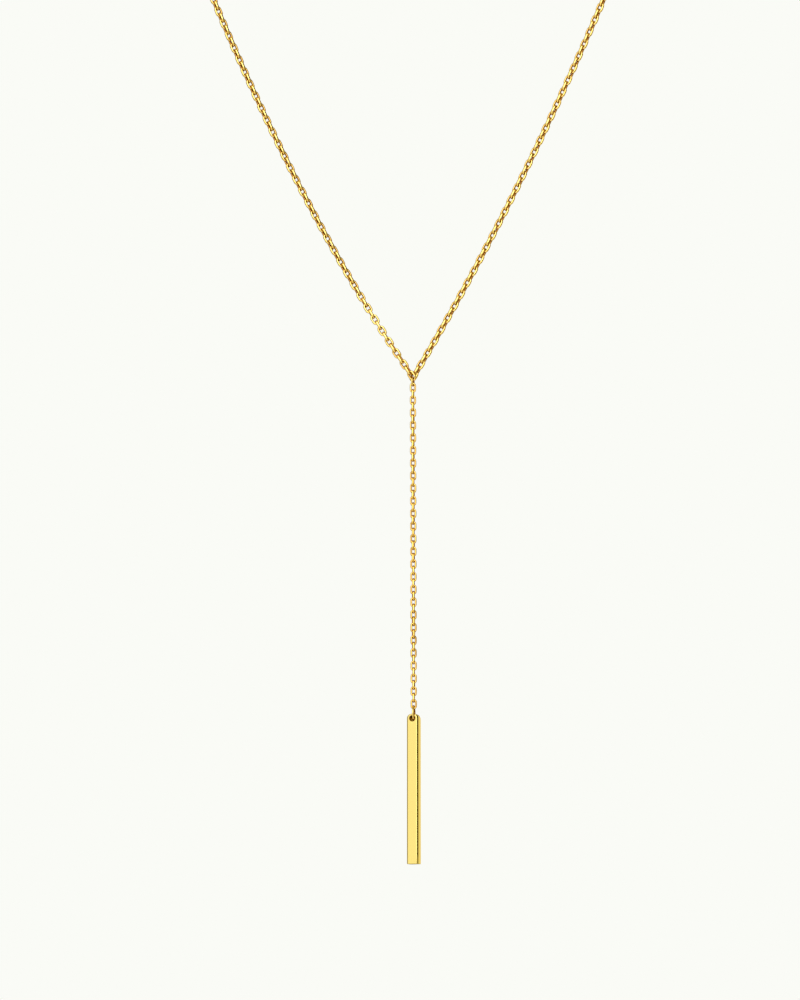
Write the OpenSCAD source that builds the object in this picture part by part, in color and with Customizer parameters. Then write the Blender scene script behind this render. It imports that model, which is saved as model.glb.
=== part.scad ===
// Y necklace: a fine cable-link neck chain, a drop chain hung from its lowest point,
// and a square bar pendant. It is drawn as it hangs when worn, with +Z up and -Y the front.
// The origin is the middle of the clasp, where the necklace rests on the nape.

/* [Neck chain] */
// Length of one neck link
neck_link_len = 2.2; // [2.15:0.01:2.25]
// Width of one neck link
neck_link_w = 1.42; // [1.38:0.01:1.6]
// Thickness of the neck link's wire
neck_wire = 0.36; // [0.3:0.01:0.36]
// Number of links drawn in each front arm of the neck chain
arm_links = 64; // [62:2:66]
// Length of chain whose weight equals the level pull in the left arm
left_pull = 90; // [85:1:98]
// Steepness of the left arm where it leaves the junction ring
left_slope = 1.48; // [1.42:0.01:1.55]
// Length of chain whose weight equals the level pull in the right arm
right_pull = 126; // [115:1:135]
// Steepness of the right arm where it leaves the junction ring
right_slope = 1.67; // [1.6:0.01:1.72]
// Turn of the left arm's links about its length, in degrees
left_turn = 24; // [15:1:30]
// Turn of the right arm's links about its length, in degrees
right_turn = -25; // [-35:1:-15]

/* [Drop chain] */
// Length of one drop link
drop_link_len = 1.97; // [1.94:0.01:2.0]
// Width of one drop link
drop_link_w = 1.18; // [1.15:0.01:1.3]
// Thickness of the drop link's wire
drop_wire = 0.29; // [0.25:0.01:0.3]
// Number of links in the drop chain
drop_links = 51; // [41:2:61]

/* [Rings] */
// Length of the oval junction ring where the Y meets
y_ring_len = 2.1; // [2.1:0.05:2.5]
// Width of the junction ring, from front to back
y_ring_w = 2; // [1.95:0.05:2]
// Turn of the junction ring about the upright, in degrees
y_ring_turn = 12; // [0:1:14]
// Outer diameter of the ring that carries the pendant
pendant_ring_d = 3.2; // [3.14:0.02:3.3]
// Turn of the pendant's ring about the upright, in degrees
pendant_ring_turn = 7; // [5:1:10]
// Thickness of the rings' wire
ring_wire = 0.36; // [0.3:0.01:0.36]

/* [Bar pendant] */
// Length of the bar
bar_len = 29.7; // [20:0.1:40]
// Width of the bar's front face
bar_w = 2.4; // [2.3:0.01:2.45]
// Thickness of the bar from front to back
bar_t = 1.9; // [1.8:0.01:1.95]
// Turn of the bar about the upright, in degrees
bar_turn = 20; // [17:1:22]
// Diameter of the hole through the bar
bar_hole_d = 1.18; // [1.17:0.01:1.22]
// Distance of the hole's axis below the bar's top
bar_hole_drop = 0.9; // [0.85:0.01:1.1]
// Radius of the bar's top corners, seen from the front
bar_top_round = 0.7; // [0.3:0.05:0.9]
// Radius of the relief behind the bar's top, where the ring passes
bar_back_relief = 1.3; // [0.9:0.05:1.5]
// Bevel on the bar's long edges
bar_bevel = 0.26; // [0.1:0.01:0.28]

/* [Clasp] */
// Outer diameter of the clasp ring
clasp_d = 5.6; // [5:0.1:6.5]
// Thickness of the clasp ring's tube
clasp_tube = 1.2; // [1:0.05:1.3]

/* [Hidden] */

gold = "goldenrod";
bright_gold = "gold";

// Play between two links that hang in each other
play = 0.12;
neck_pitch = neck_link_len - 2 * neck_wire - play;
drop_pitch = drop_link_len - 2 * drop_wire - play;

// The junction ring's centre, in front of and below the nape
y_point = [0, -84, -138.4];
y_ring_bend = (y_ring_w - ring_wire) / 2;
y_ring_half = (y_ring_len - y_ring_w) / 2;
// Each arm's first link keeps to its own side of the ring's top, and the arms close up above it
arm_offset = 0.36;
arms_level = 14;
// The links turn away from the ring over this many links
settle_links = 10;
arm_hook = y_ring_half + sqrt(y_ring_bend * y_ring_bend - arm_offset * arm_offset);
hook_play = 0.16;
hook_turn = 25;
first_neck = neck_link_len / 2 - neck_wire - hook_play - ring_wire / 2;
first_drop = drop_link_len / 2 - drop_wire - play - ring_wire / 2;
drop_top = -y_ring_half - y_ring_bend - first_drop;

// The pendant ring hangs in the last drop link and carries the bar by its hole
pendant_ring_r = (pendant_ring_d - ring_wire) / 2;
pendant_ring_z = y_point[2] + drop_top - (drop_links - 1) * drop_pitch - first_drop - pendant_ring_r;
hole_below_ring = 1.08;
bar_hole_z = pendant_ring_z - hole_below_ring;
// The bar sits this far back, so that the ring clears its front and the relief behind alike
bar_set_back = 0.05;
bar_front_round = 0.15;
bar_foot_round = 0.15;

// The clasp ring, its eye and the two end rings
clasp_r = (clasp_d - clasp_tube) / 2;
eye_d = 1.8;
eye_x = clasp_d / 2 + eye_d / 4;
nub_d = 0.8;
nub_h = 0.5;
end_ring_d = 2.8;
clasp_ring_d = 3.2;
left_ring_x = -eye_x - eye_d / 2 + 2 * ring_wire + play - end_ring_d / 2;
right_ring_x = clasp_r - clasp_tube / 2 - play - ring_wire + clasp_ring_d / 2;

// The tube that stands for the hidden chain: where it starts and ends and how it curves
arm_end = first_neck + (arm_links - 1) * neck_pitch + neck_link_len / 2 + play;
left_end_x = left_ring_x - end_ring_d / 2 - play;
right_end_x = right_ring_x + clasp_ring_d / 2 + play;
arm_handle = 53;
nape_handle = 53;
tube_d = 1.3;
tube_sides = 8;
tube_rings = 40;

module link(len, width, wire) {
    bend = (width - wire) / 2;
    half = len / 2 - width / 2;
    for (end = [0, 180])
        rotate([0, end, 0])
            translate([0, 0, half])
                rotate([90, 0, 0])
                    rotate_extrude(angle = 180, $fn = 24)
                        translate([bend, 0])
                            circle(d = wire, $fn = 16);
    for (side = [-1, 1])
        translate([side * bend, 0, -half])
            cylinder(d = wire, h = 2 * half, $fn = 16);
}

module neck_link() { link(neck_link_len, neck_link_w, neck_wire); }
module drop_link() { link(drop_link_len, drop_link_w, drop_wire); }

module jump_ring(d, wire) {
    rotate_extrude($fn = 48)
        translate([(d - wire) / 2, 0])
            circle(d = wire, $fn = 16);
}

// A chain that hangs freely: s runs along it from the junction ring
function asinh(t) = ln(t + sqrt(1 + t * t));
function hang_x(s, pull, slope) =
    pull * (asinh(slope + s / pull) - asinh(slope));
function hang_z(s, pull, slope) =
    pull * (sqrt(1 + pow(slope + s / pull, 2)) - sqrt(1 + slope * slope));
function hang_lean(s, pull, slope) = atan2(1, slope + s / pull);

// The first link lies square to the ring's wire, and the links turn little by little above it
function settled(i) = let (t = min(1, i / settle_links)) t * t * (3 - 2 * t);
function link_turn(i, turn) = 90 * (i % 2) - hook_turn + (turn + hook_turn) * settled(i);

module arm(side, pull, slope, turn) {
    for (i = [0 : arm_links - 1]) {
        s = first_neck + i * neck_pitch;
        translate(y_point + [side * hang_x(s, pull, slope), side * arm_offset * max(0, 1 - i / arms_level),
                arm_hook + hang_z(s, pull, slope)])
            rotate([0, side * hang_lean(s, pull, slope), 0])
                rotate([0, 0, link_turn(i, turn)])
                    neck_link();
    }
}

module neck_chain_left() { color(gold) arm(-1, left_pull, left_slope, left_turn); }
module neck_chain_right() { color(gold) arm(1, right_pull, right_slope, right_turn); }

module junction_ring() {
    color(gold)
        translate(y_point)
            rotate([0, 0, 90 - y_ring_turn])
                link(y_ring_len, y_ring_w, ring_wire);
}

module drop_chain() {
    color(gold)
        for (i = [0 : drop_links - 1])
            translate(y_point + [0, 0, drop_top - i * drop_pitch])
                rotate([0, 0, 90 * (i % 2)])
                    drop_link();
}

module pendant_ring() {
    color(gold)
        translate([y_point[0], y_point[1], pendant_ring_z])
            rotate([0, 0, -pendant_ring_turn])
                rotate([0, 90, 0])
                    jump_ring(pendant_ring_d, ring_wire);
}

// Outline of a square bar with its long edges bevelled, seen from above
module bar_section() {
    w = bar_w / 2;
    d = bar_t / 2;
    b = bar_bevel;
    polygon([[-w, b - d], [b - w, -d], [w - b, -d], [w, b - d],
        [w, d - b], [w - b, d], [b - w, d], [-w, d - b]]);
}

// Outline of the bar from one side, with its top corners rounded to their own radii
module bar_face(width, left_round, right_round) {
    w = width / 2;
    top = bar_hole_drop;
    foot = bar_hole_drop - bar_len;
    difference() {
        translate([-w, foot])
            square([width, bar_len]);
        bar_corner(-1, 1, w, top, left_round);
        bar_corner(1, 1, w, top, right_round);
        bar_corner(-1, -1, w, -foot, bar_foot_round);
        bar_corner(1, -1, w, -foot, bar_foot_round);
    }
}

// What a rounded corner takes away
module bar_corner(side, end, w, h, r) {
    scale([side, end])
        difference() {
            translate([w - r, h - r])
                square(r + 1);
            translate([w - r, h - r])
                circle(r, $fn = 64);
        }
}

module bar_pendant() {
    color(bright_gold)
        translate([y_point[0], y_point[1], bar_hole_z])
            rotate([0, 0, -bar_turn])
                translate([0, bar_set_back, 0])
                    difference() {
                        intersection() {
                            translate([0, 0, bar_hole_drop - bar_len])
                                linear_extrude(bar_len)
                                    bar_section();
                            rotate([90, 0, 0])
                                linear_extrude(bar_t, center = true)
                                    bar_face(bar_w, bar_top_round, bar_top_round);
                            rotate([90, 0, 90])
                                linear_extrude(bar_w, center = true)
                                    bar_face(bar_t, bar_front_round, bar_back_relief);
                        }
                        rotate([90, 0, 0])
                            cylinder(d = bar_hole_d, h = 2 * bar_t, center = true, $fn = 48);
                    }
}

// The hidden stretch of chain, from the top of an arm round the side of the neck to the clasp
function curve_point(p, t) =
    pow(1 - t, 3) * p[0] + 3 * pow(1 - t, 2) * t * p[1] + 3 * (1 - t) * t * t * p[2] + t * t * t * p[3];
function curve_way(p, t) =
    pow(1 - t, 2) * (p[1] - p[0]) + 2 * (1 - t) * t * (p[2] - p[1]) + t * t * (p[3] - p[2]);
function unit(v) = v / norm(v);

module nape_tube(side, pull, slope, end_x) {
    start = y_point + [side * hang_x(arm_end, pull, slope), 0, arm_hook + hang_z(arm_end, pull, slope)];
    lean = hang_lean(arm_end, pull, slope);
    way = [side * sin(lean), 0, cos(lean)];
    route = [start, start + arm_handle * way, [side * nape_handle, 0, 0], [end_x, 0, 0]];
    aside = [side, -1, -1];
    rings = [for (k = [0 : tube_rings - 1])
        let (t = k / (tube_rings - 1), along = unit(curve_way(route, t)),
            u = unit(cross(along, aside)), v = cross(along, u))
        [for (j = [0 : tube_sides - 1])
            let (turn = 360 * j / tube_sides)
            curve_point(route, t) + tube_d / 2 * (cos(turn) * u + sin(turn) * v)]];
    walls = [for (k = [0 : tube_rings - 2], j = [0 : tube_sides - 1])
        let (a = k * tube_sides, b = a + (j + 1) % tube_sides)
        each [[a + j, a + tube_sides + j, b + tube_sides], [a + j, b + tube_sides, b]]];
    first = [for (j = [0 : tube_sides - 1]) j];
    last = [for (j = [0 : tube_sides - 1]) tube_rings * tube_sides - 1 - j];
    polyhedron([for (ring = rings) each ring], concat(walls, [first, last]));
}

module nape_chain_left() { color(gold) nape_tube(-1, left_pull, left_slope, left_end_x); }
module nape_chain_right() { color(gold) nape_tube(1, right_pull, right_slope, right_end_x); }

// A closed ring with an eye on its left and a thumb nub, lying flat on the nape
module clasp() {
    color(gold)
        rotate([90, 0, 0]) {
            jump_ring(clasp_d, clasp_tube);
            translate([-eye_x, 0, 0])
                jump_ring(eye_d, ring_wire);
            rotate([0, 0, 60])
                translate([clasp_d / 2 - clasp_tube / 2, 0, 0])
                    rotate([0, 90, 0])
                        cylinder(d = nub_d, h = clasp_tube / 2 + nub_h, $fn = 32);
        }
}

module end_ring_left() {
    color(gold)
        translate([left_ring_x, 0, 0])
            jump_ring(end_ring_d, ring_wire);
}

module end_ring_right() {
    color(gold)
        translate([right_ring_x, 0, 0])
            jump_ring(clasp_ring_d, ring_wire);
}

neck_chain_left();
neck_chain_right();
nape_chain_left();
nape_chain_right();
junction_ring();
drop_chain();
pendant_ring();
bar_pendant();
clasp();
end_ring_left();
end_ring_right();
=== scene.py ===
# %% [markdown]
# A y necklace in polished gold.
# Two arms of fine cable chain come down from the neck and meet in an oval ring.
# A finer chain drops from that ring and carries a slim square bar.
# The imported model is loaded first. It brings the bodies that the pieces ride on.
# Every piece made here is drawn in the model's own frame, so nothing has to be fitted
# afterwards. The jewellery is given in millimetres and becomes metres when a mesh is made.
# Camera, floor and lamp are placed in metres.

# %% Load the imported model
import math
import random

import bpy
from mathutils import Matrix, Quaternion, Vector


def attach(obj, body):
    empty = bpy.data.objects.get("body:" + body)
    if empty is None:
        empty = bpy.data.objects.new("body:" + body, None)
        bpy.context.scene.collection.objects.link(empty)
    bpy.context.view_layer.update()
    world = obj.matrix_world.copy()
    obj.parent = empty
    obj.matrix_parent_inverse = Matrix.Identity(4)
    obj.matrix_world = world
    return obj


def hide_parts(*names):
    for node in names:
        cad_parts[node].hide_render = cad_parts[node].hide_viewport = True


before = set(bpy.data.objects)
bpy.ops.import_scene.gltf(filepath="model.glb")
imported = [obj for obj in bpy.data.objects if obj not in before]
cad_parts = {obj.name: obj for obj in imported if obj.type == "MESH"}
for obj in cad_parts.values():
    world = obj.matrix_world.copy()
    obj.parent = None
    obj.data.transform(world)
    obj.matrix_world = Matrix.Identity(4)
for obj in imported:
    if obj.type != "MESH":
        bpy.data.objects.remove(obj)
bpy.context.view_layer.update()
MM = 0.001

# %% [markdown]
# The camera stands a metre away, a little below the pendant, and looks slightly up.
# It is rolled by a hair to match the photograph.
# A long lens keeps the chain's links the same size from top to bottom.
# The sensor's width belongs to the picture's long side, which is upright here, so the
# lens follows from how many metres the frame shows from top to bottom.

# %% Camera
LOOK_AT = Vector((-0.00263, -0.084, -0.16233))
CAMERA_DISTANCE = 1.0
CAMERA_TILT = math.radians(-8)
CAMERA_ROLL = math.radians(-0.13)
FRAME_HEIGHT = 0.1993

camera_data = bpy.data.cameras.new("front_camera")
camera_data.sensor_width = 36
camera_data.lens = camera_data.sensor_width * CAMERA_DISTANCE / FRAME_HEIGHT
camera = bpy.data.objects.new("front_camera", camera_data)
bpy.context.scene.collection.objects.link(camera)
towards_camera = Vector((0, -math.cos(CAMERA_TILT), math.sin(CAMERA_TILT)))
camera.location = LOOK_AT + CAMERA_DISTANCE * towards_camera
camera.rotation_mode = "QUATERNION"
camera.rotation_quaternion = ((-towards_camera).to_track_quat("-Z", "Y")
                              @ Quaternion((0, 0, 1), CAMERA_ROLL))
camera_data.clip_start, camera_data.clip_end = 0.01, 50
bpy.context.scene.camera = camera
bpy.context.scene.view_settings.view_transform = "Standard"
print("lens in mm:", round(camera_data.lens, 1))

# %% [markdown]
# Polished gold has hardly any look of its own: it shows what stands round it.
# A photographer of jewellery hangs the brightest sheet round the camera and a softer one
# to its left, and leaves the right side dark, so that each wire gets a pale face, a
# bright line and a dark edge. Lamps and cards could be placed one by one. Here the world
# itself is that tent. A colour ramp goes once round the horizon and says how bright the
# tent is in each direction, and it blends into one even tone overhead and one underfoot.
# A second ramp, the skirt, takes over below eye level and leaves out the brightest and
# the darkest tones. A camera that looks down sees the lower half of the tent in the flat
# bar, and a bar that mirrored the brightest sheet would vanish before the backdrop.
# The camera itself sees that plain pale backdrop and never the tent.

# %% Node helpers
def new_node(tree, kind, inputs=None, **settings):
    """Adds a node, sets its properties and fills its inputs with values or links."""
    node = tree.nodes.new(kind)
    for name, value in settings.items():
        setattr(node, name, value)
    for key, value in (inputs or {}).items():
        if isinstance(value, bpy.types.NodeSocket):
            tree.links.new(value, node.inputs[key])
        else:
            node.inputs[key].default_value = value
    return node


def soft_step(tree, value, start, end):
    """Rises softly from 0 to 1 while the value goes from start to end."""
    node = new_node(tree, "ShaderNodeMapRange",
                    {"Value": value, "From Min": start, "From Max": end},
                    interpolation_type="SMOOTHSTEP")
    return node.outputs[0]


def fill_ramp(node, stops):
    """Gives a colour ramp the stops listed as (place, colour), eased into each other."""
    ramp = node.color_ramp
    ramp.interpolation = "EASE"
    while len(ramp.elements) > 1:
        ramp.elements.remove(ramp.elements[-1])
    ramp.elements[0].position, ramp.elements[0].color = stops[0]
    for place, colour in stops[1:]:
        ramp.elements.new(place).color = colour


def card(level):
    """Colour of the tent at this brightness: white where it is bright, olive where it is dark."""
    white = min(1.0, max(0.0, (level - OLIVE_UP_TO) / TURNING_WHITE))
    return tuple(level * (white + (1 - white) * c) for c in OLIVE_CARD) + (1,)


# %% Light tent
# Degrees round the horizon from the camera's side, positive to the right, and brightness
TENT = [(-180, 0.35), (-150, 0.3), (-120, 0.25), (-95, 0.45), (-70, 0.95), (-40, 1.06),
        (-26, 1.25), (-15, 4.0), (10, 4.8), (18, 1.3), (26, 0.1), (60, 0.06), (105, 0.09),
        (120, 0.4), (130, 0.92), (148, 0.9), (160, 0.35), (180, 0.35)]
# Darkest and brightest that the tent gets below eye level
SKIRT = (0.32, 1.1)
OVERHEAD = 0.42
UNDERFOOT = 1.1
# Heights over which two parts of the tent blend, where 1 is straight up and -1 straight down
SKIRT_TO_WALLS = (-0.06, 0.08)
TO_OVERHEAD = (0.6, 0.95)
TO_UNDERFOOT = (-0.8, -0.98)
OLIVE_CARD = (1.0, 0.88, 0.1)
# Brightness up to which a card is olive, and how much brighter it is once it is white
OLIVE_UP_TO, TURNING_WHITE = 0.1, 0.6
BACKDROP = (0.956, 0.965, 0.922, 1)

world = bpy.data.worlds.new("light_tent")
bpy.context.scene.world = world
world.use_nodes = True
tent = world.node_tree
tent.nodes.clear()
direction = new_node(tent, "ShaderNodeTexCoord").outputs["Generated"]
axes = new_node(tent, "ShaderNodeSeparateXYZ", {0: direction})
height = axes.outputs["Z"]
away = new_node(tent, "ShaderNodeMath", {0: axes.outputs["Y"], 1: -1.0}, operation="MULTIPLY")
angle = new_node(tent, "ShaderNodeMath", {0: axes.outputs["X"], 1: away.outputs[0]},
                 operation="ARCTAN2")
turn = new_node(tent, "ShaderNodeMath", {0: angle.outputs[0], 1: 1 / math.tau, 2: 0.5},
                operation="MULTIPLY_ADD")

wall_stops, skirt_stops = [], []
for degrees, level in TENT:
    spot = degrees / 360 + 0.5
    wall_stops.append((spot, card(level)))
    skirt_stops.append((spot, card(max(SKIRT[0], min(level, SKIRT[1])))))
walls = new_node(tent, "ShaderNodeValToRGB", {0: turn.outputs[0]})
fill_ramp(walls, wall_stops)
skirt = new_node(tent, "ShaderNodeValToRGB", {0: turn.outputs[0]})
fill_ramp(skirt, skirt_stops)

eye_level = soft_step(tent, height, *SKIRT_TO_WALLS)
sides = new_node(tent, "ShaderNodeMixRGB",
                 {0: eye_level, 1: skirt.outputs[0], 2: walls.outputs[0]})
dome = new_node(tent, "ShaderNodeMixRGB",
                {0: soft_step(tent, height, *TO_OVERHEAD), 1: sides.outputs[0], 2: card(OVERHEAD)})
bowl = new_node(tent, "ShaderNodeMixRGB",
                {0: soft_step(tent, height, *TO_UNDERFOOT), 1: dome.outputs[0], 2: card(UNDERFOOT)})
tent_light = new_node(tent, "ShaderNodeBackground", {"Color": bowl.outputs[0]})
backdrop = new_node(tent, "ShaderNodeBackground", {"Color": BACKDROP})
seen = new_node(tent, "ShaderNodeLightPath")
tent_mix = new_node(tent, "ShaderNodeMixShader",
                    {0: seen.outputs["Is Camera Ray"], 1: tent_light.outputs[0],
                     2: backdrop.outputs[0]})
new_node(tent, "ShaderNodeOutputWorld", {0: tent_mix.outputs[0]})
print("light tent of", len(TENT), "stops")

# %% [markdown]
# The floor is a plain pale sheet well below the pendant. Most of its light is its own,
# which keeps it nearly as pale as the backdrop, so that no hard horizon cuts through the
# picture. One wide lamp lights it from above and lets the necklace cast a faint shadow.
# The gold mirrors neither of them, only the tent and the other links.

# %% Floor and soft lamp
FLOOR_Z = -0.38
FLOOR_HALF = 12.0
PAPER_TONE = 0.3
PAPER_ROUGHNESS = 0.9
PAPER_GLOW = 0.78
LAMP_PLACE = (-0.5, -0.7, 0.9)
LAMP_SIZE = 0.9
LAMP_POWER = 6

paper = bpy.data.materials.new("pale_paper")
paper.use_nodes = True
paper_shader = paper.node_tree.nodes["Principled BSDF"]
paper_shader.inputs["Base Color"].default_value = (PAPER_TONE, PAPER_TONE, PAPER_TONE, 1)
paper_shader.inputs["Roughness"].default_value = PAPER_ROUGHNESS
paper_shader.inputs["Emission Color"].default_value = BACKDROP
paper_shader.inputs["Emission Strength"].default_value = PAPER_GLOW

floor_corners = [(FLOOR_HALF * x, FLOOR_HALF * y, FLOOR_Z)
                 for x, y in ((-1, -1), (1, -1), (1, 1), (-1, 1))]
floor_mesh = bpy.data.meshes.new("floor")
floor_mesh.from_pydata(floor_corners, [], [(0, 1, 2, 3)])
floor_mesh.materials.append(paper)
floor = bpy.data.objects.new("floor", floor_mesh)
bpy.context.scene.collection.objects.link(floor)
floor.visible_glossy = False

lamp_data = bpy.data.lights.new("wide_lamp", "AREA")
lamp_data.shape = "DISK"
lamp_data.size = LAMP_SIZE
lamp_data.energy = LAMP_POWER
lamp = bpy.data.objects.new("wide_lamp", lamp_data)
lamp.location = LAMP_PLACE
lamp.rotation_mode = "QUATERNION"
lamp.rotation_quaternion = (LOOK_AT - lamp.location).to_track_quat("-Z", "Y")
lamp.visible_glossy = False
bpy.context.scene.collection.objects.link(lamp)
print("floor at", FLOOR_Z, "m")

# %% [markdown]
# Gold is a bare metal, so the shader is fully metallic and the colour is the colour of
# its reflection. A single flat value would look like plastic. Real jewellery has faint
# clouds in its polish and fine hairlines left by the polishing wheel. Noise textures in
# the object's own space make both, so the finish needs no images and no unwrapping.
# Three numbers come with each mesh: tone, a small difference in warmth from link to link,
# worn, which rises where metal rubs on metal or an edge is rounded and dulls the polish
# there, and a third that paints shade: it rises to 1 on the sides that face a hole and
# mixes the gold there towards a dark red-brown. That painted shade stands in for the
# shadow inside each link, and it is what gives a fine chain its depth.

# %% Gold finishes
PALE_GOLD = (0.965, 0.775, 0.235, 1)
YELLOW_GOLD = (0.950, 0.715, 0.215, 1)
WARM_GOLD = (0.930, 0.630, 0.165, 1)
HONEY_GOLD = (0.880, 0.590, 0.145, 1)
AMBER_GOLD = (0.760, 0.450, 0.090, 1)
# Painted shade: the dark red-brown that the sides facing a hole are mixed towards
PAINTED_SHADE_GOLD = (0.240, 0.080, 0.010, 1)
PALE_EDGE = (1.0, 0.80, 0.40, 1)
AMBER_EDGE = (1.0, 0.55, 0.12, 1)
# Noise cells a metre: clouds of about a millimetre, hairlines under a tenth of one
CLOUD_SCALE = 900.0
HAIRLINE_SCALE = 14000.0
# Where the clouds' noise counts as fully polished and as fully cloudy
CLOUD_RANGE = (0.3, 0.7)
CLOUD_WARMTH = 0.5
RUBBED_ROUGHNESS = 0.06


def gold_finish(name, pale, warm, edge, smooth, cloudy, hairlines, bump_height):
    """Polished gold from pale to warm, its roughness from smooth to cloudy.

    edge tints what the gold mirrors where it turns away from the eye. hairlines
    is 1 for a fine grain, and less where it is drawn out into lines along Z.
    """
    material = bpy.data.materials.new(name)
    material.use_nodes = True
    tree = material.node_tree
    shader = tree.nodes["Principled BSDF"]
    shader.inputs["Metallic"].default_value = 1.0
    shader.inputs["IOR"].default_value = 1.45
    shader.inputs["Specular Tint"].default_value = edge
    place = new_node(tree, "ShaderNodeTexCoord").outputs["Object"]
    clouds = new_node(tree, "ShaderNodeTexNoise",
                      {"Vector": place, "Scale": CLOUD_SCALE, "Detail": 4.0, "Roughness": 0.6})
    stretch = new_node(tree, "ShaderNodeMapping", {"Vector": place, "Scale": (1, 1, hairlines)})
    lines = new_node(tree, "ShaderNodeTexNoise",
                     {"Vector": stretch.outputs[0], "Scale": HAIRLINE_SCALE,
                      "Detail": 3.0, "Roughness": 0.7})
    tone = new_node(tree, "ShaderNodeAttribute", attribute_name="tone")
    worn = new_node(tree, "ShaderNodeAttribute", attribute_name="worn")
    painted_shade = new_node(tree, "ShaderNodeAttribute", attribute_name="painted_shade")
    warmth = new_node(tree, "ShaderNodeMath",
                      {0: clouds.outputs["Fac"], 1: CLOUD_WARMTH, 2: tone.outputs["Fac"]},
                      operation="MULTIPLY_ADD")
    colour = new_node(tree, "ShaderNodeMixRGB",
                      {0: warmth.outputs[0], 1: pale, 2: warm}, use_clamp=True)
    # Painted shade: the sides that face a hole are mixed towards the dark shade colour
    deep = new_node(tree, "ShaderNodeMixRGB",
                    {0: painted_shade.outputs["Fac"], 1: colour.outputs[0], 2: PAINTED_SHADE_GOLD})
    polish = new_node(tree, "ShaderNodeMapRange",
                      {"Value": clouds.outputs["Fac"],
                       "From Min": CLOUD_RANGE[0], "From Max": CLOUD_RANGE[1],
                       "To Min": smooth, "To Max": cloudy})
    rubbed = new_node(tree, "ShaderNodeMath",
                      {0: worn.outputs["Fac"], 1: RUBBED_ROUGHNESS, 2: polish.outputs[0]},
                      operation="MULTIPLY_ADD")
    grain = new_node(tree, "ShaderNodeBump",
                     {"Height": lines.outputs["Fac"], "Strength": 0.5, "Distance": bump_height})
    tree.links.new(deep.outputs[0], shader.inputs["Base Color"])
    tree.links.new(rubbed.outputs[0], shader.inputs["Roughness"])
    tree.links.new(grain.outputs["Normal"], shader.inputs["Normal"])
    return material


link_gold = gold_finish("link_gold", YELLOW_GOLD, WARM_GOLD, AMBER_EDGE,
                        smooth=0.07, cloudy=0.15, hairlines=1.0, bump_height=2e-6)
drop_gold = gold_finish("drop_link_gold", HONEY_GOLD, AMBER_GOLD, AMBER_EDGE,
                        smooth=0.07, cloudy=0.15, hairlines=1.0, bump_height=2e-6)
ring_gold = gold_finish("ring_gold", YELLOW_GOLD, WARM_GOLD, AMBER_EDGE,
                        smooth=0.06, cloudy=0.13, hairlines=1.0, bump_height=1.5e-6)
bar_gold = gold_finish("bar_gold", PALE_GOLD, YELLOW_GOLD, PALE_EDGE,
                       smooth=0.08, cloudy=0.15, hairlines=0.02, bump_height=1.2e-6)
print("finishes:", [m.name for m in (link_gold, drop_gold, ring_gold, bar_gold)])

# %% [markdown]
# A cable link is a piece of wire bent into an oval and soldered shut. This wire is a
# little squarer than round, and thicker across the link's plane than within it.
# It could be a curve with a bevel, or a torus stretched in its middle. A hand-written
# sweep is used because it gives clean four-sided faces all round and lets the wire change
# along its way: each link gets the faint swelling of its solder joint on one side.
# One link is made once as a list of points, and then laid down wherever the chain needs it.

# %% Wire sweep
RING_WEAR = 0.3
SOLDER_SWELL = 0.05
# Below 1, the painted shade of a hole reaches further up the sides of the wire
PAINTED_SHADE_POWER = 0.5
# Most that one link's tone differs from another's
TONE_SPREAD = 0.5


def oval_line(length, width, wire, per_bend, per_side):
    """Middle of a link's wire in the XZ plane: points, outward directions and bend marks."""
    bend = (width - wire) / 2
    half = (length - width) / 2
    line = []
    for side, base in ((1, 0.0), (-1, math.pi)):
        for k in range(per_bend + 1):
            along = math.pi * k / per_bend
            out = Vector((math.cos(base + along), 0, math.sin(base + along)))
            line.append((Vector((0, 0, side * half)) + bend * out, out, math.sin(along)))
        for k in range(1, per_side):
            z = side * half * (1 - 2 * k / per_side)
            out = Vector((-side, 0, 0))
            line.append((Vector((0, 0, z)) + bend * out, out, 0.0))
    return line


def ring_line(diameter, wire, count):
    """Middle of a round ring's wire in the XZ plane."""
    line = []
    for k in range(count):
        out = Vector((math.cos(math.tau * k / count), 0, math.sin(math.tau * k / count)))
        line.append(((diameter - wire) / 2 * out, out, RING_WEAR))
    return line


def sweep(line, wire, sides, thick=None, square=2.0, swell=0.0, swell_at=None, swell_length=0.1):
    """Wire along a closed flat line: vertices, faces and the marks of each vertex.

    thick is the wire's size across the line's plane, and square its corners: 2 is round.
    """
    across = (thick or wire) / wire * Vector((0, 1, 0))
    verts, marks = [], {"worn": [], "painted_shade": []}
    for point, out, bent in line:
        radius = wire / 2
        if swell_at is not None:
            radius *= 1 + swell * math.exp(-((point - swell_at).length / swell_length) ** 2)
        for j in range(sides):
            a = math.tau * j / sides
            c, d = math.cos(a), math.sin(a)
            reach = radius * (abs(c) ** square + abs(d) ** square) ** (-1 / square)
            verts.append(point + reach * (c * out + d * across))
            marks["worn"].append(bent * max(0.0, -c))
            # The side of the wire that faces its hole gets painted shade
            marks["painted_shade"].append(max(0.0, -c) ** PAINTED_SHADE_POWER)
    faces = []
    for k in range(len(line)):
        here, there = k * sides, (k + 1) % len(line) * sides
        for j in range(sides):
            i = (j + 1) % sides
            faces.append((here + j, here + i, there + i, there + j))
    return verts, faces, marks


def make_link(length, width, wire, thick, square, sides=16):
    """One soldered link, with its joint half way up one straight side."""
    line = oval_line(length, width, wire, per_bend=10, per_side=4)
    joint = Vector(((width - wire) / 2, 0, 0))
    return sweep(line, wire, sides, thick, square,
                 swell=SOLDER_SWELL, swell_at=joint, swell_length=wire / 3)


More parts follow.
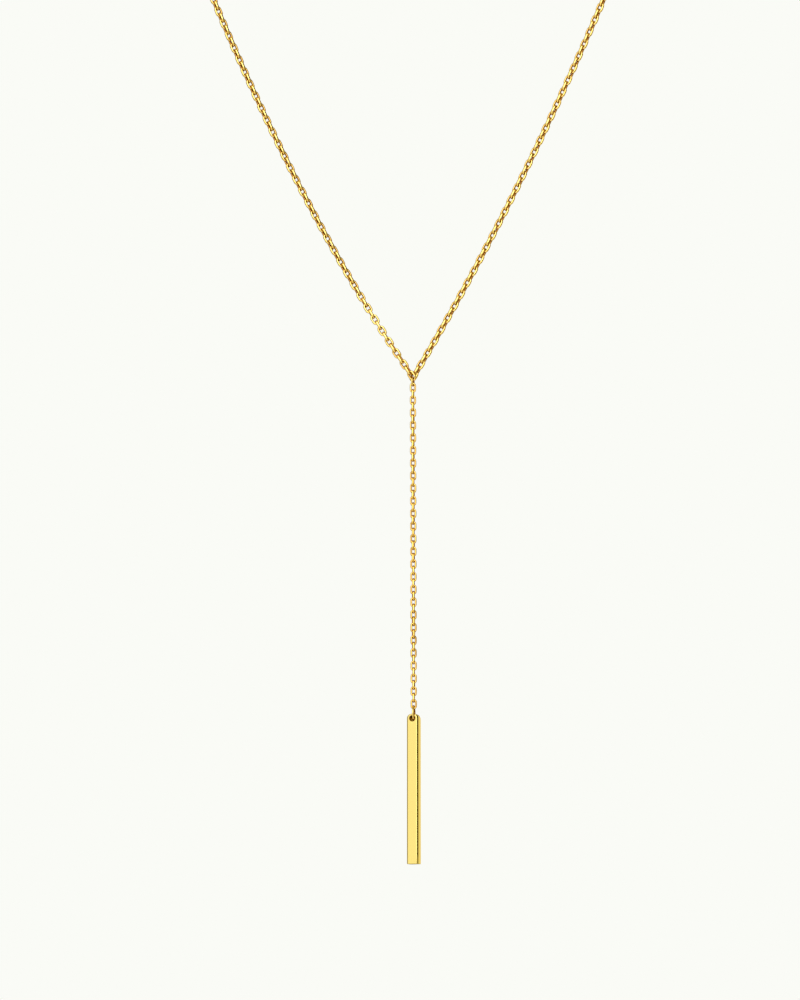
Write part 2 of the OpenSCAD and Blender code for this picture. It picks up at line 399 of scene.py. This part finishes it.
def lay_down(name, shape, places, material, seed=1):
    """One mesh object with the shape laid down at every place. Both are in millimetres."""
    dice = random.Random(seed)
    verts, faces, tone = [], [], []
    shape_verts, shape_faces, marks = shape
    for place in places:
        first = len(verts)
        verts.extend(MM * (place @ v) for v in shape_verts)
        faces.extend(tuple(first + i for i in face) for face in shape_faces)
        tone.extend([TONE_SPREAD * dice.random()] * len(shape_verts))
    mesh = bpy.data.meshes.new(name)
    mesh.from_pydata(verts, [], faces)
    mesh.attributes.new("tone", "FLOAT", "POINT").data.foreach_set("value", tone)
    for mark, values in marks.items():
        attribute = mesh.attributes.new(mark, "FLOAT", "POINT")
        attribute.data.foreach_set("value", values * len(places))
    mesh.shade_smooth()
    mesh.materials.append(material)
    mesh.update()
    piece = bpy.data.objects.new(name, mesh)
    bpy.context.scene.collection.objects.link(piece)
    print(name, "-", len(places), "of", len(shape_faces), "faces each")
    return piece


def dress(piece, node, body="necklace"):
    """The piece takes the place of its CAD node, which is hidden, and rides on its body."""
    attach(piece, body)
    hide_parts(node)


# %% [markdown]
# A chain held at its ends hangs in the curve called a catenary. The arms are drawn on it:
# s runs along the chain from the oval ring upwards, and pull is the length of chain whose
# weight equals the level pull. Each link is turned a quarter turn from its neighbour.
# In a real chain the quarter turns are never exact, so a few degrees of play are
# added with a seeded random number, the same in every run. The links near the ring get
# none: there the left arm is still on the way to its own turn, and neighbours more than
# about eight degrees off their quarter turn would cut into each other.

# %% Neck chain on its curve
NECK_LINK = dict(length=2.26, width=1.49, wire=0.42, thick=0.53, square=2.3)
NECK_PITCH = 1.36
ARM_LINKS = 64
FIRST_NECK = 0.40
Y_POINT = Vector((0, -84, -138.4))
ARM_HOOK = 0.787
# The left arm starts this far in front and the right arm behind, until both are level
ARM_OFFSET = 0.43
ARMS_LEVEL = 14
# Degrees that the links at the ring are turned, and links until the arm has its own turn
HOOK_TURN = 25
SETTLE_LINKS = 20
# Most degrees that a link is off its quarter turn by chance
TURN_PLAY = 4
LEFT_ARM = dict(side=-1, pull=90, slope=1.48, turn=24)
RIGHT_ARM = dict(side=1, pull=126, slope=1.67, turn=-25)


def on_arm(s, side, pull, slope, **_):
    """Place and lean of the hanging chain s millimetres above the oval ring."""
    steep = slope + s / pull
    x = pull * (math.asinh(steep) - math.asinh(slope))
    z = pull * (math.sqrt(1 + steep**2) - math.sqrt(1 + slope**2))
    return side * x, z, side * math.atan2(1, steep)


def arm_turn(i, turn):
    """Roll of link i in degrees: as the ring holds it at first, then the arm's own turn."""
    t = min(1.0, i / SETTLE_LINKS)
    return 90 * (i % 2) - HOOK_TURN + (turn + HOOK_TURN) * t * t * (3 - 2 * t)


def turned(lean, roll):
    """Lean about Y in radians after a roll about the link's own length in degrees."""
    return Matrix.Rotation(lean, 4, "Y") @ Matrix.Rotation(math.radians(roll), 4, "Z")


def arm_places(arm, seed):
    """Places of an arm's links, from the oval ring upwards."""
    dice = random.Random(seed)
    places = []
    for i in range(ARM_LINKS):
        x, z, lean = on_arm(FIRST_NECK + i * NECK_PITCH, **arm)
        y = arm["side"] * ARM_OFFSET * max(0.0, 1 - i / ARMS_LEVEL)
        play = dice.uniform(-TURN_PLAY, TURN_PLAY) if i > SETTLE_LINKS else 0
        place = Y_POINT + Vector((x, y, ARM_HOOK + z))
        places.append(Matrix.Translation(place) @ turned(lean, arm_turn(i, arm["turn"]) + play))
    return places


neck_link = make_link(**NECK_LINK)
for arm, name, node, seed in ((LEFT_ARM, "neck_links_left", "neck_chain_left", 11),
                              (RIGHT_ARM, "neck_links_right", "neck_chain_right", 12)):
    chain = lay_down(name, neck_link, arm_places(arm, seed), link_gold, seed=seed)
    dress(chain, node)

# %% [markdown]
# The photograph is cut off at the top of the arms. From there the chain goes on unseen
# round the side of the neck to the clasp at the nape, in one smooth curve with four
# control points. The same links are laid on it. A frame that never spins about the curve
# is carried along, and the small turn that is still missing at the clasp is shared out
# over all the links.

# %% Hidden chain round the neck
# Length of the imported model's links, and the gap between neighbours
CAD_LINK = 2.2
PLAY = 0.12
ARM_END = FIRST_NECK + (ARM_LINKS - 1) * NECK_PITCH + CAD_LINK / 2 + PLAY
ARM_HANDLE = 53
NAPE_HANDLE = 53
FIRST_ON_CURVE = 0.14
LEFT_RING_X = -4.71
RIGHT_RING_X = 2.72
LEFT_RING_D = 2.8
RIGHT_RING_D = 3.2
LEFT_END_X = LEFT_RING_X - LEFT_RING_D / 2 - PLAY
RIGHT_END_X = RIGHT_RING_X + RIGHT_RING_D / 2 + PLAY
CURVE_STEPS = 2000


def nape_curve(arm, end_x):
    """Points from the top of an arm to its end ring, and the lean that they start with."""
    x, z, lean = on_arm(ARM_END, **arm)
    start = Y_POINT + Vector((x, 0, ARM_HOOK + z))
    way = Vector((math.sin(lean), 0, math.cos(lean)))
    route = [start, start + ARM_HANDLE * way, Vector((arm["side"] * NAPE_HANDLE, 0, 0)),
             Vector((end_x, 0, 0))]
    points = []
    for k in range(CURVE_STEPS + 1):
        t = k / CURVE_STEPS
        points.append((1 - t) ** 3 * route[0] + 3 * (1 - t) ** 2 * t * route[1]
                      + 3 * (1 - t) * t * t * route[2] + t**3 * route[3])
    return points, lean


def nape_places(arm, end_x, seed):
    """Places of the hidden links, from the arm to the end ring in even steps."""
    dice = random.Random(seed)
    points, lean = nape_curve(arm, end_x)
    reach = [0.0]
    for a, b in zip(points, points[1:]):
        reach.append(reach[-1] + (b - a).length)
    steps = round((reach[-1] - 2 * FIRST_ON_CURVE) / NECK_PITCH)
    spacing = (reach[-1] - 2 * FIRST_ON_CURVE) / steps
    carried = Matrix.Rotation(lean, 3, "Y")
    spots, k = [], 0
    for i in range(steps + 1):
        s = FIRST_ON_CURVE + i * spacing
        while k < CURVE_STEPS - 1 and reach[k + 1] < s:
            k += 1
            way = (points[k + 1] - points[k]).normalized()
            carried = (carried.col[2].rotation_difference(way)).to_matrix() @ carried
        part = (s - reach[k]) / (reach[k + 1] - reach[k])
        spots.append((points[k].lerp(points[k + 1], part), carried.copy()))
    # The last link stands upright in the end ring, which lies level
    back = Vector((0, 1, 0))
    last = spots[-1][1]
    wanted = math.degrees(math.atan2(-back.dot(last.col[0]), back.dot(last.col[1])))
    missing = (wanted - arm["turn"] - 90 * steps + 90) % 180 - 90
    places = []
    for i, (spot, spin) in enumerate(spots):
        roll = 90 * i + arm["turn"] + missing * i / steps
        roll += dice.uniform(-TURN_PLAY, TURN_PLAY) if 0 < i < steps else 0
        rolled = Matrix.Rotation(math.radians(roll), 4, "Z")
        places.append(Matrix.Translation(spot) @ spin.to_4x4() @ rolled)
    print("hidden stretch:", round(reach[-1], 1), "mm, spacing", round(spacing, 3),
          "mm, turn", round(missing, 1))
    return places


for arm, end_x, name, node, seed in (
        (LEFT_ARM, LEFT_END_X, "nape_links_left", "nape_chain_left", 21),
        (RIGHT_ARM, RIGHT_END_X, "nape_links_right", "nape_chain_right", 22)):
    chain = lay_down(name, neck_link, nape_places(arm, end_x, seed), link_gold, seed=seed)
    dress(chain, node)

# %% [markdown]
# The drop chain is the same kind of cable chain in thinner wire. It hangs straight down
# under the weight of the bar. Its first link hooks into the oval ring and lies face-on,
# and from there face-on and edge-on links take turns.
# Its play is a drift: each link turns a little further or back from the one before, and
# the drift dies out at both ends, where the rings hold the chain. So the chain as a whole
# can turn well to either side without neighbours that cut into each other.

# %% Drop chain
DROP_LINK = dict(length=2.04, width=1.25, wire=0.36, thick=0.44, square=2.3)
DROP_PITCH = 1.27
DROP_LINKS = 51
DROP_TOP = -1.265
# Most degrees of drift from one link to the next, and most in all
DROP_STEP, DROP_SWING = 7.5, 12

drop_dice = random.Random(31)
drop_places, drift = [], 0
for i in range(DROP_LINKS):
    links_left = DROP_LINKS - 1 - i
    swing = min(DROP_SWING, DROP_STEP * i, DROP_STEP * links_left)
    drift = max(-swing, min(swing, drift + drop_dice.uniform(-DROP_STEP, DROP_STEP)))
    place = Y_POINT + Vector((0, 0, DROP_TOP - i * DROP_PITCH))
    drop_places.append(Matrix.Translation(place) @ turned(0, 90 * (i % 2) + drift))
drop_chain = lay_down("drop_links", make_link(**DROP_LINK), drop_places, drop_gold, seed=31)
dress(drop_chain, "drop_chain")

# %% [markdown]
# The rings are the same wire sweep with more steps, because they are seen larger.
# The oval ring joins the three chains. The round one is a jump ring: it was bent open,
# threaded through the last link and the bar, and closed again, so a hair-thin line
# shows where its two ends meet.

# %% Rings
RING_WIRE = 0.36
Y_RING = dict(length=2.1, width=2.0)
Y_RING_TURN = 12
Y_RING_SWELL = 0.04
Y_RING_SWELL_LENGTH = 0.12
PENDANT_RING_D = 3.2
PENDANT_RING_Z = -204.98
PENDANT_RING_TURN = 7
PENDANT_RING_JOINT = 35
# Line of a jump ring's joint: how much thinner the wire is, and over how many millimetres
JOINT_SHRINK = 0.07
JOINT_LENGTH = 0.012
# Radians between the sections at the joint, and millimetres kept clear of the other steps
JOINT_STEP = 0.012
JOINT_CLEAR = 0.03


def make_jump_ring(diameter, wire, sides=20, steps=72, joint_angle=0.0):
    """A closed jump ring in the XZ plane, with the line of its joint."""
    radius = (diameter - wire) / 2
    joint = radius * Vector((math.cos(joint_angle), 0, math.sin(joint_angle)))
    line = ring_line(diameter, wire, steps)
    for step in (-JOINT_STEP, 0.0, JOINT_STEP):
        a = joint_angle + step
        out = Vector((math.cos(a), 0, math.sin(a)))
        line.append((radius * out, out, RING_WEAR))
    # A step of the ring that falls right on the joint is kept too, on top of the section there
    line = [p for p in line if (p[0] - joint).length > JOINT_CLEAR or p in line[-3:]]
    line.sort(key=lambda p: math.atan2(p[0].z, p[0].x))
    return sweep(line, wire, sides,
                 swell=-JOINT_SHRINK, swell_at=joint, swell_length=JOINT_LENGTH)


y_line = oval_line(Y_RING["length"], Y_RING["width"], RING_WIRE, per_bend=20, per_side=6)
y_joint = Vector((-(Y_RING["width"] - RING_WIRE) / 2, 0, 0))
y_shape = sweep(y_line, RING_WIRE, sides=20,
                swell=Y_RING_SWELL, swell_at=y_joint, swell_length=Y_RING_SWELL_LENGTH)
y_place = Matrix.Translation(Y_POINT) @ turned(0, 90 - Y_RING_TURN)
dress(lay_down("y_joint_ring", y_shape, [y_place], ring_gold), "junction_ring")

jump_shape = make_jump_ring(PENDANT_RING_D, RING_WIRE,
                            joint_angle=math.radians(PENDANT_RING_JOINT))
jump_place = (Matrix.Translation((0, Y_POINT.y, PENDANT_RING_Z))
              @ turned(0, 90 - PENDANT_RING_TURN))
dress(lay_down("bar_jump_ring", jump_shape, [jump_place], ring_gold), "pendant_ring")

# %% [markdown]
# The bar is wire with flat sides, cut to length, with its top rounded and drilled.
# A box with a bevel would be quick, but the top is rounded by a different amount in front,
# behind and at the sides. So the bar is built up from level sections: each is a
# rectangle with softened bevels, and its four sides draw in near the ends.
# The hole is then drilled with a Boolean, by a drill whose ends flare, which leaves
# the soft rim that polishing gives a real hole.

# %% Bar sections
BAR_LENGTH, BAR_WIDTH, BAR_THICKNESS = 29.7, 2.4, 1.9
BAR_HOLE_D = 1.18
BAR_HOLE_DROP = 0.9
BAR_HOLE_Z = -206.06
BAR_TURN = 20
# The bar hangs a hair off plumb, as in the photograph
BAR_LEAN = math.radians(0.13)
BAR_SET_BACK = 0.05
BAR_BEVEL = 0.26
BEVEL_ROUND = 0.09
# Most that a bevel takes of half the depth, where the top gets thin
BEVEL_SHARE = 0.6
SIDE_ROUND, FRONT_ROUND, BACK_RELIEF, FOOT_ROUND = 0.9, 0.18, 1.3, 0.07
EDGE_WEAR = 0.5


def drawn_in(from_end, radius):
    """How far a side has drawn in at this distance from the bar's end."""
    if from_end >= radius:
        return 0.0
    return radius - math.sqrt(max(0.0, radius**2 - (radius - from_end) ** 2))


def bar_section(z, per_round=4, per_side=3):
    """Level outline of the bar at height z over the hole's axis, counter-clockwise."""
    to_top, to_foot = BAR_HOLE_DROP - z, z - (BAR_HOLE_DROP - BAR_LENGTH)
    foot = drawn_in(to_foot, FOOT_ROUND)
    x = BAR_WIDTH / 2 - drawn_in(to_top, SIDE_ROUND) - foot
    front = -BAR_THICKNESS / 2 + drawn_in(to_top, FRONT_ROUND) + foot
    back = BAR_THICKNESS / 2 - drawn_in(to_top, BACK_RELIEF) - foot
    y, middle = (back - front) / 2, (back + front) / 2
    bevel = min(BAR_BEVEL, BEVEL_SHARE * y)
    soft = BEVEL_ROUND * bevel / BAR_BEVEL
    cut = soft * math.tan(math.radians(45 / 2))
    rounds = []
    for quarter in range(4):
        wide, deep = (x, y) if quarter % 2 == 0 else (y, x)
        turn = Matrix.Rotation(math.radians(90 * quarter), 2)
        rounds.append((turn @ Vector((wide - soft, deep - bevel - cut)), 90 * quarter))
        rounds.append((turn @ Vector((wide - bevel - cut, deep - soft)), 90 * quarter + 45))
    outline = []
    for n, (centre, start) in enumerate(rounds):
        for k in range(per_round + 1):
            a = math.radians(start + 45 * k / per_round)
            point = centre + soft * Vector((math.cos(a), math.sin(a)))
            outline.append((Vector((point.x, point.y + middle, z)), 1.0))
        after = rounds[(n + 1) % len(rounds)][0] + soft * Vector((math.cos(a), math.sin(a)))
        flat = per_side if n % 2 else 1
        for k in range(1, flat + 1):
            between = point.lerp(after, k / (flat + 1))
            outline.append((Vector((between.x, between.y + middle, z)), 0.0))
    return outline


def bar_levels(foot_steps=5, shaft_steps=16, back_steps=14, front_steps=4):
    """Heights of the sections, close together where the ends are rounded."""
    top, foot = BAR_HOLE_DROP, BAR_HOLE_DROP - BAR_LENGTH
    shaft = BAR_LENGTH - FOOT_ROUND - BACK_RELIEF
    levels = set()
    for k in range(foot_steps + 1):
        levels.add(foot + FOOT_ROUND * (1 - math.cos(math.pi / 2 * k / foot_steps)))
    for k in range(shaft_steps + 1):
        levels.add(foot + FOOT_ROUND + shaft * k / shaft_steps)
    for k in range(back_steps + 1):
        levels.add(top - BACK_RELIEF * (1 - math.sin(math.pi / 2 * k / back_steps)))
    for k in range(front_steps):
        levels.add(top - FRONT_ROUND * (1 - math.sin(math.pi / 2 * k / front_steps)))
    return sorted(round(z, 5) for z in levels)


sections = [bar_section(z) for z in bar_levels()]
around = len(sections[0])
bar_verts = [point for section in sections for point, _ in section]
bar_worn = [EDGE_WEAR * edge for section in sections for _, edge in section]
bar_faces = [tuple(reversed(range(around)))]
for k in range(len(sections) - 1):
    low, high = k * around, (k + 1) * around
    for j in range(around):
        i = (j + 1) % around
        bar_faces.append((low + j, low + i, high + i, high + j))
bar_faces.append(tuple(range(high, high + around)))
bar_place = (Matrix.Translation((0, Y_POINT.y, BAR_HOLE_Z)) @ turned(BAR_LEAN, -BAR_TURN)
             @ Matrix.Translation((0, BAR_SET_BACK, 0)))
bar_marks = {"worn": bar_worn, "painted_shade": [0.0] * len(bar_verts)}
bar = lay_down("polished_bar", (bar_verts, bar_faces, bar_marks), [bar_place], bar_gold)

# %% Drill the hole
FLARE = 0.09
# Millimetres that the drill reaches past the bar on each side, and widens there
OVERSHOOT = 0.5
# Edges that turn by more degrees than this stay sharp
BAR_SHARP = 32


def drill(place, sides=64):
    """A straight drill along Y whose ends flare where they leave the bar."""
    face, hole = BAR_THICKNESS / 2, BAR_HOLE_D / 2
    profile = [(-face - OVERSHOOT, hole + FLARE + OVERSHOOT), (-face, hole + FLARE)]
    profile += [(-face + FLARE * math.sin(a), hole + FLARE * (1 - math.sin(a)) ** 1.5)
                for a in (0.35, 0.8, math.pi / 2)]
    profile += [(-y, r) for y, r in reversed(profile)]
    verts, faces = [], []
    for y, r in profile:
        for j in range(sides):
            a = math.tau * j / sides
            verts.append(MM * (place @ Vector((r * math.cos(a), y, r * math.sin(a)))))
    for k in range(len(profile) - 1):
        low, high = k * sides, (k + 1) * sides
        for j in range(sides):
            i = (j + 1) % sides
            faces.append((low + j, high + j, high + i, low + i))
    faces.append(tuple(range(sides)))
    faces.append(tuple(reversed(range(high, high + sides))))
    mesh = bpy.data.meshes.new("drill")
    mesh.from_pydata(verts, [], faces)
    return bpy.data.objects.new("drill", mesh)


def combine(piece, other, operation):
    """Applies a Boolean to the piece's mesh and throws the other shape away."""
    bpy.context.scene.collection.objects.link(other)
    step = piece.modifiers.new("combine", "BOOLEAN")
    step.operation, step.solver, step.object = operation, "EXACT", other
    evaluated = piece.evaluated_get(bpy.context.evaluated_depsgraph_get())
    result = bpy.data.meshes.new_from_object(evaluated)
    piece.modifiers.clear()
    old, piece.data = piece.data, result
    bpy.data.meshes.remove(old)
    bpy.data.objects.remove(other)


combine(bar, drill(bar_place), "DIFFERENCE")
# The walls of the drilled hole get the full painted shade
to_bar = bar_place.inverted()
for point, mark in zip(bar.data.vertices, bar.data.attributes["painted_shade"].data):
    at = to_bar @ (point.co / MM)
    mark.value = float(math.hypot(at.x, at.z) < BAR_HOLE_D / 2 + FLARE / 4)
bar.data.shade_smooth()
bar.data.set_sharp_from_angle(angle=math.radians(BAR_SHARP))
dress(bar, "bar_pendant", body="pendant")
print("bar:", len(bar.data.polygons), "faces after drilling")

# %% [markdown]
# The clasp lies hidden at the nape, so it stays plain: a closed ring of thick tube, with
# an eye on its left and a small thumb nub. The parts are united with Booleans into
# one clean skin, as solder would join them. An end ring on each side holds the chain.

# %% Clasp
CLASP_D, CLASP_TUBE = 5.6, 1.2
EYE_D, EYE_X = 1.8, 3.25
NUB_D, NUB_TOP, NUB_ANGLE = 0.8, 3.3, 60
NUB_ROUND = 0.12
CLASP_SHARP = 40


def loose_shape(shape, place):
    """An object with the shape at this place, ready to be combined with another."""
    verts, faces, _ = shape
    mesh = bpy.data.meshes.new("loose")
    mesh.from_pydata([MM * (place @ v) for v in verts], [], faces)
    return bpy.data.objects.new("loose", mesh)


def make_nub(sides=32):
    """A short round pin along X with a rounded head."""
    foot, top, radius = CLASP_D / 2 - CLASP_TUBE / 2, NUB_TOP - NUB_ROUND, NUB_D / 2
    profile = [(foot, radius)]
    profile += [(top + NUB_ROUND * math.sin(a), radius - NUB_ROUND + NUB_ROUND * math.cos(a))
                for a in (0, 0.4, 0.8, 1.2, math.pi / 2)]
    verts, faces = [], []
    for x, r in profile:
        for j in range(sides):
            a = math.tau * j / sides
            verts.append(Vector((x, r * math.cos(a), r * math.sin(a))))
    for k in range(len(profile) - 1):
        low, high = k * sides, (k + 1) * sides
        for j in range(sides):
            i = (j + 1) % sides
            faces.append((low + j, low + i, high + i, high + j))
    faces.append(tuple(reversed(range(sides))))
    faces.append(tuple(range(high, high + sides)))
    return verts, faces, None


clasp_shape = sweep(ring_line(CLASP_D, CLASP_TUBE, count=96), CLASP_TUBE, sides=28)
clasp = lay_down("spring_ring_clasp", clasp_shape, [Matrix.Identity(4)], ring_gold)
eye_shape = sweep(ring_line(EYE_D, RING_WIRE, count=48), RING_WIRE, sides=16)
combine(clasp, loose_shape(eye_shape, Matrix.Translation((-EYE_X, 0, 0))), "UNION")
nub_place = Matrix.Rotation(math.radians(-NUB_ANGLE), 4, "Y")
combine(clasp, loose_shape(make_nub(), nub_place), "UNION")
clasp.data.shade_smooth()
clasp.data.set_sharp_from_angle(angle=math.radians(CLASP_SHARP))
dress(clasp, "clasp")
print("clasp:", len(clasp.data.polygons), "faces")

# %% End rings
FLAT = Matrix.Rotation(math.radians(90), 4, "X")
END_RING_JOINT = 70
for name, node, x, diameter in (
        ("end_jump_ring_left", "end_ring_left", LEFT_RING_X, LEFT_RING_D),
        ("end_jump_ring_right", "end_ring_right", RIGHT_RING_X, RIGHT_RING_D)):
    shape = make_jump_ring(diameter, RING_WIRE, joint_angle=math.radians(END_RING_JOINT))
    ring = lay_down(name, shape, [Matrix.Translation((x, 0, 0)) @ FLAT], ring_gold)
    dress(ring, node)
